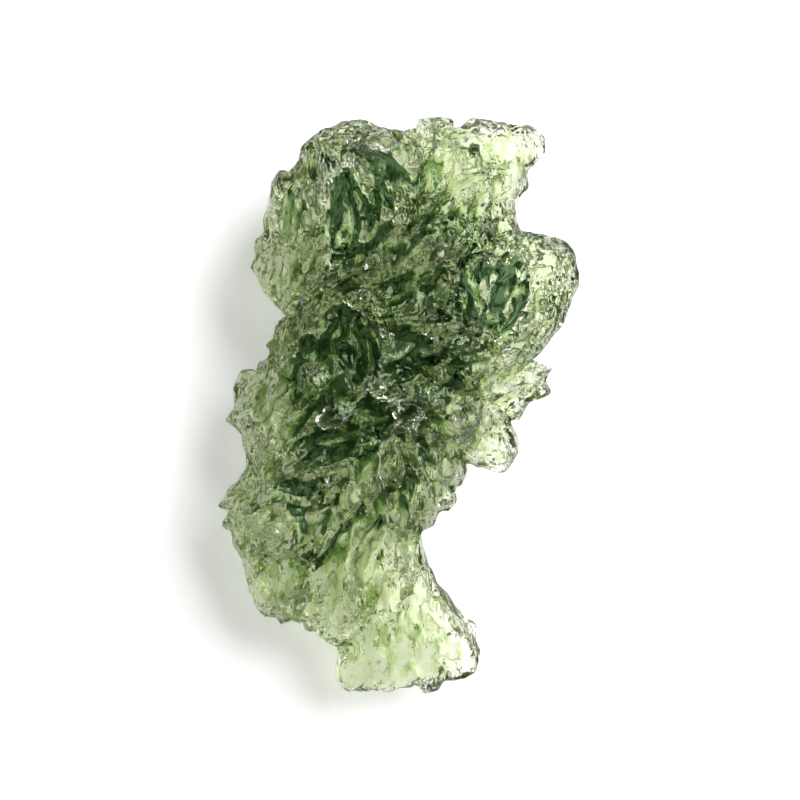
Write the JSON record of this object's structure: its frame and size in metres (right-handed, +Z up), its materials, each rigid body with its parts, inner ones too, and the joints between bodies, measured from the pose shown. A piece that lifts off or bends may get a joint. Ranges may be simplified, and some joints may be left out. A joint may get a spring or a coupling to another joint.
{
  "type": "moldavite",
  "caption": "Natural green glass stone, flat and long, etched all over into sharp fins, flutes and pits, with scooped hollows and a serrated outline, lying on a small flat spot.",
  "frame": {"origin": "on the surface that the stone lies on, below the middle of its bounding box", "axes": "+Z up from the resting spot, +Y along the stone towards its broad crown, +X across it towards the scooped lobe"},
  "size_m": [0.0216, 0.0346, 0.0109],
  "materials": {
    "moldavite_glass": "glossy etched natural glass, bottle green, pale where thin"
  },
  "bodies": {
    "root": {"moldavite": "moldavite_glass"}
  },
  "joints": []
}
